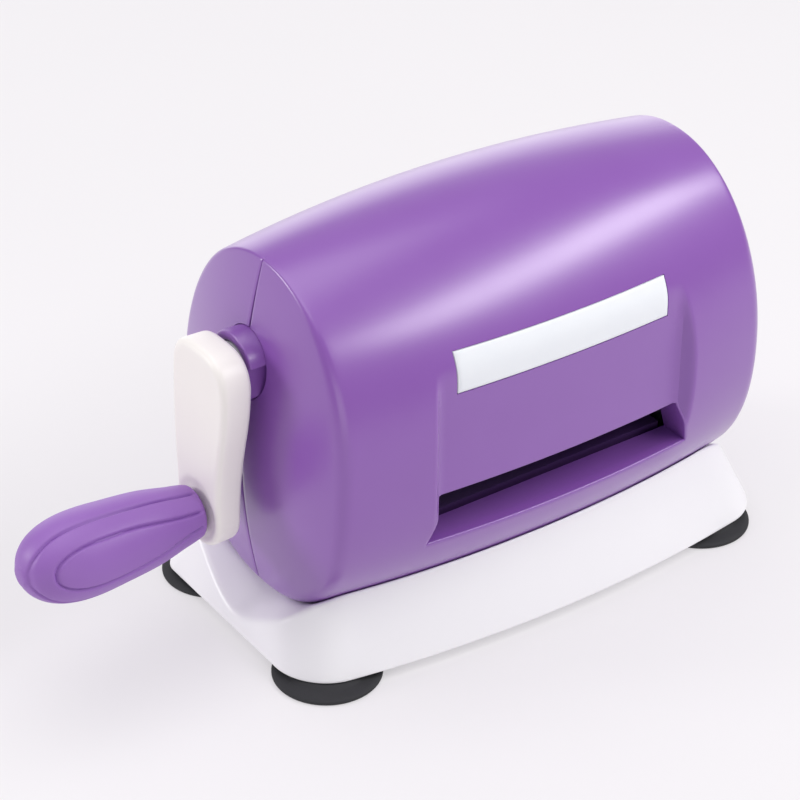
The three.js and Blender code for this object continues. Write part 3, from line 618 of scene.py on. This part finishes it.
def strip_block(name, grow, outer, inner, edge):
    """A curved block that follows the front face over the label's rectangle.

    It is larger by grow all round and runs from inner behind the face to outer before it; edge is a chamfer.
    """
    half = LABEL_X + grow
    low, high = LABEL_LOW - grow, LABEL_HIGH + grow
    across = [-half, -half + edge] + [lerp(-half + edge, half - edge, k / 50) for k in range(1, 50)]
    across += [half - edge, half]
    up = [low, low + edge] + [lerp(low + edge, high - edge, k / 16) for k in range(1, 16)]
    up += [high - edge, high]

    def front(x, z, offset):
        return Vector((x, -(front_y(x, z) + offset), z))

    rows = []
    for i, z in enumerate(up):
        ends = i in (0, len(up) - 1)
        row = []
        for j, x in enumerate(across):
            drop = edge if ends or j in (0, len(across) - 1) else 0.0
            row.append(front(x, z, outer - drop))
        rows.append(row)
    back = [[front(x, z, -inner) for x in across] for z in up]
    bm = bmesh.new()
    add_rows(bm, rows)
    add_rows(bm, back)
    last_row, last_column = len(up) - 1, len(across) - 1
    rim = [(0, j) for j in range(last_column + 1)]
    rim += [(i, last_column) for i in range(1, last_row + 1)]
    rim += [(last_row, j) for j in range(last_column - 1, -1, -1)]
    rim += [(i, 0) for i in range(last_row - 1, 0, -1)]
    add_rows(bm, [[rows[i][j] for i, j in rim], [back[i][j] for i, j in rim]], wrap_columns=True)
    close_up(bm)
    return new_piece(name, bm)


WELL_SIDES = 32


def well_cutter():
    """Rods that open the screw wells through the rear half's wall."""
    bm = bmesh.new()
    circle = [(WELL_RADIUS * math.cos(t), WELL_RADIUS * math.sin(t)) for t in circle_turns(WELL_SIDES)]
    for x, z in WELLS:
        rings = [[Vector((x + across, y, z + up)) for across, up in circle] for y in (SCREW_SEAT, 90.0)]
        verts = add_rows(bm, rings, wrap_columns=True)
        bm.faces.new(verts[0])
        bm.faces.new(verts[1])
    bmesh.ops.recalc_face_normals(bm, faces=bm.faces)
    return new_piece("well_cutter", bm)


def add_well_sleeves(piece):
    """The walls and floors of the screw wells, joined to the rear half's mesh."""
    bm = bmesh.new()
    for x, z in WELLS:
        rows = []
        for turn in circle_turns(WELL_SIDES):
            mouth = barrel_y(x, z + POST_RADIUS * math.sin(turn)) - 1.0
            profile = (
                (WELL_RADIUS, mouth), (WELL_RADIUS, SCREW_SEAT), (SCREW_HOLE, SCREW_SEAT),
                (SCREW_HOLE, 1.0), (POST_RADIUS, 1.0), (POST_RADIUS, mouth),
            )
            rows.append([Vector((x + r * math.cos(turn), y, z + r * math.sin(turn))) for r, y in profile])
        add_rows(bm, rows, wrap_columns=True, wrap_rows=True)
    bmesh.ops.recalc_face_normals(bm, faces=bm.faces)
    sleeves = new_piece("well_sleeves", bm)
    joined = bmesh.new()
    joined.from_mesh(piece.data)
    joined.from_mesh(sleeves.data)
    joined.to_mesh(piece.data)
    joined.free()
    bpy.data.objects.remove(sleeves)


def build_housing(finishes):
    purple = finishes["housing_purple"]
    front = housing_half("housing_front", -1)
    cut_away(front, strip_block("strip_cutter", LABEL_GAP, 3.0, LABEL_THICK + LABEL_BED_GAP, 0.0))
    install(front, purple, "machine_body", ["front_shell"], 32)
    rear = housing_half("housing_rear", 1)
    cut_away(rear, well_cutter())
    add_well_sleeves(rear)
    install(rear, purple, "machine_body", ["rear_shell"], 32)
    strip = strip_block("name_strip", 0.0, LABEL_PROUD, LABEL_THICK, LABEL_EDGE)
    install(strip, finishes["label_strip"], "machine_body", ["label_strip"], 60)


# ---------------------------------------------------------------- base
LONG_STEPS, CORNER_STEPS, END_STEPS = 88, 18, 30
SIDE_STATIONS = LONG_STEPS + 2 * CORNER_STEPS
STATIONS = 2 * (SIDE_STATIONS + END_STEPS)


def base_plan(station, z, inset=0.0):
    """Point of the base's outline at a station, which runs once round it from the left end of the front.

    The order is front side, right end, rear side, left end.
    """
    rise = (z - BASE_LOW) / (BASE_TOP - BASE_LOW)
    left = BASE_LEFT + END_IN * rise + inset
    right = BASE_RIGHT - END_IN * rise - inset

    def side_y(x):
        away = ((x - BASE_BOW_X) / 100) ** 2
        return BASE_HALF_Y - BASE_BOW * away - (FLANK_IN + BASE_TUCK * away) * rise - inset

    def corner(x, endward, radius, share):
        turn = share * math.pi / 2
        here = x + endward * radius * math.sin(turn)
        return here, side_y(here) - radius + radius * math.cos(turn)

    def side(step, radius):
        """Along a long side, from its left corner to its right corner."""
        if step < CORNER_STEPS:
            return corner(left + radius, -1, radius, 1 - step / CORNER_STEPS)
        step -= CORNER_STEPS
        if step < LONG_STEPS:
            x = lerp(left + radius, right - radius, step / LONG_STEPS)
            return x, side_y(x)
        return corner(right - radius, 1, radius, (step - LONG_STEPS) / CORNER_STEPS)

    front, rear = FRONT_CORNER - inset, max(REAR_CORNER - inset, 1.0)
    if station < SIDE_STATIONS:
        x, y = side(station, front)
        return Vector((x, -y, z))
    station -= SIDE_STATIONS
    if station < END_STEPS:
        share = station / END_STEPS
        return Vector((right, lerp(-side(SIDE_STATIONS, front)[1], side(SIDE_STATIONS, rear)[1], share), z))
    station -= END_STEPS
    if station < SIDE_STATIONS:
        x, y = side(SIDE_STATIONS - station, rear)
        return Vector((x, y, z))
    share = (station - SIDE_STATIONS) / END_STEPS
    return Vector((left, lerp(side(0, rear)[1], -side(0, front)[1], share), z))


def dip_height(x, y):
    """The saddle at the nearer end of the base, which rises towards the housing."""
    share = abs(y) / SADDLE_HALF
    inward = x - SADDLE_LEFT if x < 0 else SADDLE_RIGHT - x
    edge = SADDLE_LOW + SADDLE_RISE * share**1.75 - SADDLE_SLOPE * SADDLE_EDGE_IN * share**3
    return edge + SADDLE_SLOPE * inward


def cradle_top(x, y):
    """Height of the base's upper surface: the wall top, the barrel's bed, and the dips at both ends."""
    bed = barrel_underside(x, y, -CRADLE_GAP)
    top = BASE_TOP if bed is None else min(BASE_TOP, bed)
    return soft_min(top, dip_height(x, y), 1.5)


def base_section(station):
    """One cut through the base's wall: up the flank, over the rim, inwards, and back along the inside."""
    low, high = BASE_LOW, BASE_TOP
    for _ in range(18):
        middle = (low + high) / 2
        here = base_plan(station, middle)
        if cradle_top(here.x, here.y) > middle:
            low = middle
        else:
            high = middle
    rim = base_plan(station, low)
    inner = base_plan(station, rim.z, 6.0)
    inward = Vector((inner.x - rim.x, inner.y - rim.y, 0)).normalized()

    def over(reach):
        x, y = rim.x + inward.x * reach, rim.y + inward.y * reach
        return Vector((x, y, cradle_top(x, y)))

    foot = base_plan(station, BASE_LOW)
    foot_in = base_plan(station, BASE_LOW, BASE_FOOT_IN)
    foot_up = base_plan(station, BASE_LOW + BASE_FOOT_UP)
    points = [bezier(foot_in, foot, foot_up, k / 4) for k in range(5)]
    below = base_plan(station, rim.z - min(RIM_DOWN, (rim.z - BASE_LOW) * 0.4))
    points += [foot_up.lerp(below, k / 6) for k in range(1, 6)]
    from_end = min(rim.x - BASE_LEFT - END_IN, BASE_RIGHT - END_IN - rim.x)
    at_end = smooth_step((16 - from_end) / 14)
    turn_in = lerp(RIM_IN, END_RIM_IN, at_end)
    points += [bezier(below, rim, over(turn_in), k / 6) for k in range(7)]
    shelf_in = lerp(SHELF_IN, END_SHELF_IN, at_end)
    points += [over(lerp(turn_in, shelf_in, k / 24)) for k in range(1, 25)]
    last = points[-1]
    inside_top = min(BASE_INSIDE_TOP, last.z - 1.0)
    points.append(Vector((last.x, last.y, inside_top)))
    points.append(base_plan(station, BASE_LOW, BASE_WALL) + Vector((0, 0, inside_top - BASE_LOW)))
    points.append(base_plan(station, BASE_LOW, BASE_WALL))
    return points


def build_base(finishes):
    bm = bmesh.new()
    sections = [base_section(station) for station in range(STATIONS)]
    add_rows(bm, sections, wrap_columns=True, wrap_rows=True)
    close_up(bm)
    piece = new_piece("base_body", bm)
    install(piece, finishes["base_white"], "machine_body", ["base_cradle"], 40)


def build_feet(finishes):
    for corner in ("front_left", "rear_left", "front_right", "rear_right"):
        node = f"foot_{corner}"
        low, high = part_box(node)
        x = ((low.x + high.x) / 2 - MID_X) / MM
        y = (low.y + high.y) / 2 / MM
        radius = (high.x - low.x) / 2 / MM
        profile = rounded(
            [
                (1.9, 1.6), (4.2, 1.6), (4.2, 0.0), (radius - 0.6, 0.0, 0.3), (radius, 0.5, 0.3),
                (radius, 1.7, 0.5), (radius - 1.6, 2.4, 0.6), (17.0, 2.9, 0.8), (15.0, 4.2, 0.5),
                (5.0, 4.2), (5.0, 6.4), (1.9, 6.4),
            ],
            0.25,
            3,
        )
        bm = bmesh.new()
        revolve_z(bm, profile, x, y, 72)
        bmesh.ops.recalc_face_normals(bm, faces=bm.faces)
        piece = new_piece(f"rubber_{node}", bm)
        install(piece, finishes["foot_rubber"], "machine_body", [node])


# ---------------------------------------------------------------- crank
def build_collar(finishes):
    """The ring round the shaft, with a flat cut on its front side."""
    corners = [
        (COLLAR_INNER, COLLAR_FRONT), (COLLAR_OUTER, COLLAR_FRONT),
        (COLLAR_OUTER, COLLAR_BACK), (COLLAR_INNER, COLLAR_BACK),
    ]
    profile = rounded(corners, 0.7)
    bm = bmesh.new()
    revolve_x(bm, profile, 0, CRANK_Z, 96)
    bmesh.ops.recalc_face_normals(bm, faces=bm.faces)
    piece = new_piece("shaft_collar", bm)
    flat = bmesh.new()
    bmesh.ops.create_cube(flat, size=1.0)
    middle = Vector((COLLAR_FRONT + 4, COLLAR_FLAT - COLLAR_OUTER - 5, CRANK_Z - 12.5))
    for v in flat.verts:
        v.co = middle + Vector((v.co.x * 10, v.co.y * 10, v.co.z * 35))
    cut_away(piece, new_piece("collar_cutter", flat))
    install(piece, finishes["housing_purple"], "machine_body", ["crank_collar"], 30)


def arm_outline():
    """Outline of the arm in Y-Z: squarish hub, waisted front side, round pad and straight rear side."""
    points = []
    for k in range(64):
        turn = math.pi * k / 64
        cosine = math.cos(turn)
        y = math.copysign(abs(cosine) ** (2 / HUB_POWER), cosine) * HUB_HALF
        points.append(Vector((y, HUB_Z + HUB_HALF * math.sin(turn) ** (2 / HUB_POWER))))
    front = (
        Vector((-HUB_HALF, HUB_Z)), Vector((-HUB_HALF, HUB_Z - 18)),
        Vector((-ARM_WAIST, WAIST_Z + 10)), Vector((GRIP_Y - PAD_RADIUS, GRIP_Z)),
    )
    rear = (
        Vector((GRIP_Y + PAD_RADIUS, GRIP_Z)), Vector((GRIP_Y + PAD_RADIUS, GRIP_Z + 14)),
        Vector((HUB_HALF, HUB_Z - 34)), Vector((HUB_HALF, HUB_Z)),
    )
    points += [cubic(*front, k / 32) for k in range(32)]
    for k in range(48):
        turn = math.pi * (1 + k / 48)
        points.append(Vector((GRIP_Y + PAD_RADIUS * math.cos(turn), GRIP_Z + PAD_RADIUS * math.sin(turn))))
    points += [cubic(*rear, k / 32) for k in range(32)]
    return points


COLLAPSED = 99  # an inset that stands for the whole way in to the middle line


def arm_rings(outline, depths):
    """Rings that shrink from the outline to the arm's middle line. depths is a list of (inset, depth).

    The sides draft inwards a little towards the machine.
    """
    rings = []
    for inset, depth in depths:
        ring = []
        for p in outline:
            share = clamp((HUB_Z - p.y) / (HUB_Z - GRIP_Z))
            spine = Vector((GRIP_Y * share, lerp(HUB_Z, GRIP_Z, share)))
            away = p - spine
            draft = ARM_DRAFT * (1 - depth / ARM_THICK)
            scale = max(1 - (inset + draft) / away.length, 0.0) if inset < COLLAPSED else 0.0
            q = spine + away * scale
            ring.append(Vector((depth, q.x, q.y)))
        rings.append(ring)
    return rings


def lean(point):
    """The arm leans outwards and thins a little towards the grip."""
    share = clamp((CRANK_Z - point.z) / (CRANK_Z - GRIP_Z))
    depth = point.x * (1 - ARM_THINNING * share)
    from_grip = math.hypot(point.y - GRIP_Y, point.z - GRIP_Z)
    if point.x > ARM_THICK - 4:
        depth -= 1.1 * smooth_step((14.5 - from_grip) / 4.0)
    return Vector((ARM_IN - depth - ARM_SPLAY * share, point.y, point.z))


def arm_depths():
    """(inset, depth) of each ring, from the middle of the inner face to the middle of the outer face."""
    quarter = [k / 8 * math.pi / 2 for k in range(1, 9)]
    depths = [(inset, 0.0) for inset in (COLLAPSED, 13, 9, 6, ARM_INNER_EDGE)]
    for turn in quarter:
        depths.append((ARM_INNER_EDGE * (1 - math.sin(turn)), ARM_INNER_EDGE * (1 - math.cos(turn))))
    depths += [(0.0, depth) for depth in (5.5, 8.0, ARM_THICK - ARM_OUTER_EDGE)]
    for turn in quarter:
        depth = ARM_THICK - ARM_OUTER_EDGE * (1 - math.sin(turn))
        depths.append((ARM_OUTER_EDGE * (1 - math.cos(turn)), depth))
    return depths + [(inset, ARM_THICK) for inset in (4, 5, 6, 7, 8.2, 9.5, 11, 13, COLLAPSED)]


def shaft_cutter():
    """A rod that opens the arm's hole for the crank shaft."""
    bm = bmesh.new()
    circle = [(SHAFT_HOLE * math.cos(t), SHAFT_HOLE * math.sin(t)) for t in circle_turns(48)]
    rings = [[Vector((x, y, CRANK_Z + up)) for y, up in circle] for x in (SHAFT_HOLE_END, -100.0)]
    verts = add_rows(bm, rings, wrap_columns=True)
    bm.faces.new(verts[0])
    bm.faces.new(verts[1])
    bmesh.ops.recalc_face_normals(bm, faces=bm.faces)
    return new_piece("shaft_cutter", bm)


def build_arm(finishes):
    bm = bmesh.new()
    rings = [[lean(p) for p in ring] for ring in arm_rings(arm_outline(), arm_depths())]
    add_rows(bm, rings, wrap_columns=True)
    bmesh.ops.remove_doubles(bm, verts=bm.verts, dist=0.02)
    bmesh.ops.dissolve_degenerate(bm, edges=bm.edges, dist=0.01)
    bmesh.ops.recalc_face_normals(bm, faces=bm.faces)
    piece = new_piece("crank_lever", bm)
    cut_away(piece, shaft_cutter())
    install(piece, finishes["arm_cream"], "crank", ["crank_arm"], 50)


def grip_radius(s):
    """Radius of the grip at s from its root, on a smooth curve through its outline."""
    points = GRIP_OUTLINE
    for k in range(len(points) - 1):
        if s <= points[k + 1][0]:
            break
    (s0, r0), (s1, r1) = points[k], points[k + 1]
    before = points[max(k - 1, 0)]
    after = points[min(k + 2, len(points) - 1)]
    share = (s - s0) / (s1 - s0)
    slope0 = (r1 - before[1]) / max(s1 - before[0], 0.1) * (s1 - s0)
    slope1 = (after[1] - r0) / max(after[0] - s0, 0.1) * (s1 - s0)
    if k == len(points) - 2:
        return r0 * math.sqrt(max(1 - share**2, 0))
    square, cube = share**2, share**3
    return ((2 * cube - 3 * square + 1) * r0 + (cube - 2 * square + share) * slope0
            + (3 * square - 2 * cube) * r1 + (cube - square) * slope1)


# Half width at the root and at the widest, in degrees; end of the straight part; tip; the tip's bluntness.
OUTER_OVAL = (58, 60, 56, 76.2, 3.4)
INNER_OVAL = (16, 31, 48, 68.5, 2.6)
FACING = math.radians(14)  # the ovals face a little above straight ahead, and again on the far side


def panel_groove(s, turn, oval):
    """Depth of the groove that outlines one of the grip's raised ovals; it is open towards the root."""
    half_root, half_wide, straight_to, tip, power = oval
    half = lerp(math.radians(half_root), math.radians(half_wide), smooth_step(s / 40))
    along = max(s - straight_to, 0.0) / (tip - straight_to)
    across = abs(turn) / half
    reach = (along**power + across**power) ** (1 / power)
    if reach < 0.05:
        return 0.0
    radius = max(grip_radius(min(s, 77.5)), 2.0)
    slope_s = (along / reach) ** (power - 1) / (tip - straight_to)
    slope_turn = (across / reach) ** (power - 1) / (half * radius)
    distance = (reach - 1) / max(math.hypot(slope_s, slope_turn), 1e-3)
    return GROOVE_DEPTH * math.exp(-((distance / GROOVE_WIDTH) ** 2))


def grip_groove(s, turn):
    """Depth of all the grooves at s from the root; they fade out at the root and at the tip."""
    fade = smooth_step((s - 1.4) / 3) * smooth_step((77.6 - s) / 1.5)
    depth = 0.0
    for facing in (FACING, FACING + math.pi):
        offset = (turn - facing + math.pi) % (2 * math.pi) - math.pi
        depth += fade * (panel_groove(s, offset, OUTER_OVAL) + panel_groove(s, offset, INNER_OVAL))
    return depth


def build_grip(finishes):
    stations = [0.0, 0.25, 0.6, 1.0] + [1.5 + 0.5 * k for k in range(146)]
    stations += [74.8, 75.3, 75.8, 76.3, 76.8, 77.2, 77.5, 77.75, 77.9, 77.97]
    sides = 260
    turns = circle_turns(sides)

    def around(s, radii):
        return [Vector((GRIP_ROOT - s, GRIP_Y - radius * math.cos(turn), GRIP_Z + radius * math.sin(turn)))
                for radius, turn in zip(radii, turns)]

    rows = [around(s, [grip_radius(s) - grip_groove(s, turn) for turn in turns]) for s in stations]
    bm = bmesh.new()
    verts = add_rows(bm, rows, wrap_columns=True)
    tip = bm.verts.new((GRIP_ROOT - GRIP_LENGTH, GRIP_Y, GRIP_Z))
    for k in range(sides):
        bm.faces.new((verts[-1][k], verts[-1][(k + 1) % sides], tip))
    mouth = around(0, [GRIP_BORE] * sides)
    bottom = around(GRIP_BORE_DEPTH, [GRIP_BORE] * sides)
    verts = add_rows(bm, [rows[0], mouth, bottom], wrap_columns=True)
    end = bm.verts.new((GRIP_ROOT - GRIP_BORE_DEPTH, GRIP_Y, GRIP_Z))
    for k in range(sides):
        bm.faces.new((verts[-1][k], verts[-1][(k + 1) % sides], end))
    close_up(bm)
    piece = new_piece("grip_body", bm)
    install(piece, finishes["grip_purple"], "grip_body", ["grip"], 50)


# ---------------------------------------------------------------- carried-over CAD nodes
NODE_FINISHES = {
    "frame_steel": ("left_side_frame", "right_side_frame"),
    "roller_steel": ("upper_roller", "lower_roller", "crank_shaft", "grip_spindle", "tie_rod"),
    "fastener_steel": ("shell_screw", "foot_screw", "frame_bolt", "crank_grub_screw"),
    "gear_nylon": ("reduction_gear", "crank_pinion", "upper_sync_gear", "lower_sync_gear"),
    "bush_bronze": ("upper_roller_bush", "lower_roller_bush", "crank_frame_bush"),
    "bush_grey": ("crank_collar_bush",),
    "plate_grey": ("base_bottom_plate",),
    "foot_rubber": ("foot_front", "foot_rear"),
    "housing_purple": ("front_shell", "rear_shell", "crank_collar"),
    # The feed tables take the darker purple that paints in the shade inside the slot.
    "feed_table_purple": ("front_feed_table", "rear_feed_table"),
    "grip_purple": ("grip",),
    "label_strip": ("label_strip",),
    "base_white": ("base_cradle",),
    "arm_cream": ("crank_arm",),
}


def finish_for(node):
    """The finish whose list holds the longest start of the node's name."""
    fits = []
    for finish, starts in NODE_FINISHES.items():
        fits += [(len(start), finish) for start in starts if node.startswith(start)]
    return max(fits)[1]


def finish_cad_nodes(finishes):
    for name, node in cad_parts.items():
        finish = finish_for(name)
        for slot in node.material_slots:
            slot.material = finishes[finish]


# ---------------------------------------------------------------- floor, light and camera
FLOOR_HALF, FLOOR_STEPS = 5000, 20
FLOOR_GLOW = 0.47


def build_floor():
    """A pale sheet that glows a little, like the light table of a product photograph."""
    bm = bmesh.new()
    marks = [FLOOR_HALF * (2 * k / FLOOR_STEPS - 1) for k in range(FLOOR_STEPS + 1)]
    rows = [[Vector((x, y, 0)) for x in marks] for y in marks]
    add_rows(bm, rows)
    floor = new_piece("floor", bm)
    material = moulded(
        "floor_light_table", srgb(170, 168, 170), srgb(167, 165, 167), 0.7, mottle=4, specular=0.1,
    )
    glow = material.node_tree.nodes["Principled BSDF"]
    glow.inputs["Emission Color"].default_value = (1, 0.975, 1, 1)
    glow.inputs["Emission Strength"].default_value = FLOOR_GLOW
    floor.data.materials.append(material)


LIGHT_AIM = Vector((MID_X, 0, 0.09))


def area_light(name, place, size, size_y, power):
    """A soft box aimed at the middle of the machine."""
    light = bpy.data.lights.new(name, "AREA")
    light.shape = "RECTANGLE"
    light.size, light.size_y = size, size_y
    light.energy = power
    lamp = bpy.data.objects.new(name, light)
    lamp.location = place
    lamp.rotation_euler = (LIGHT_AIM - Vector(place)).to_track_quat("-Z", "Y").to_euler()
    bpy.context.scene.collection.objects.link(lamp)


def build_lights():
    world = bpy.data.worlds.new("studio")
    world.use_nodes = True
    background = world.node_tree.nodes["Background"]
    background.inputs["Color"].default_value = (0.97, 0.97, 1.0, 1)
    background.inputs["Strength"].default_value = 0.3
    bpy.context.scene.world = world
    area_light("band_softbox", (MID_X + 0.67, -0.64, 0.97), 1.2, 0.24, 10)
    area_light("overhead_softbox", (MID_X - 0.2, 0.15, 1.5), 1.6, 1.2, 11)
    area_light("back_softbox", (MID_X + 0.6, 1.2, 0.35), 1.8, 0.7, 5)
    area_light("left_softbox", (MID_X - 1.05, 0.6, 0.5), 0.32, 0.32, 5)
    area_light("front_fill", (MID_X - 0.6, -1.2, 0.3), 0.9, 0.5, 1.8)


def build_camera():
    """The viewing angle: 35 degrees round to the left of straight ahead, 32 degrees above the table."""
    camera = bpy.data.cameras.new("camera")
    camera.sensor_width = 36
    camera.lens = 116.25
    camera.clip_end = 50
    seat = bpy.data.objects.new("camera", camera)
    seat.location = (-0.54581 + MID_X, -0.73126, 0.64546)
    aim = Vector((-0.02421 + MID_X, 0.01919, 0.06783))
    seat.rotation_euler = (aim - seat.location).to_track_quat("-Z", "Y").to_euler()
    bpy.context.scene.collection.objects.link(seat)
    bpy.context.scene.camera = seat
    bpy.context.scene.view_settings.view_transform = "Standard"


finishes = make_materials()
build_housing(finishes)
build_base(finishes)
build_feet(finishes)
build_collar(finishes)
build_arm(finishes)
build_grip(finishes)
finish_cad_nodes(finishes)
build_floor()
build_lights()
build_camera()
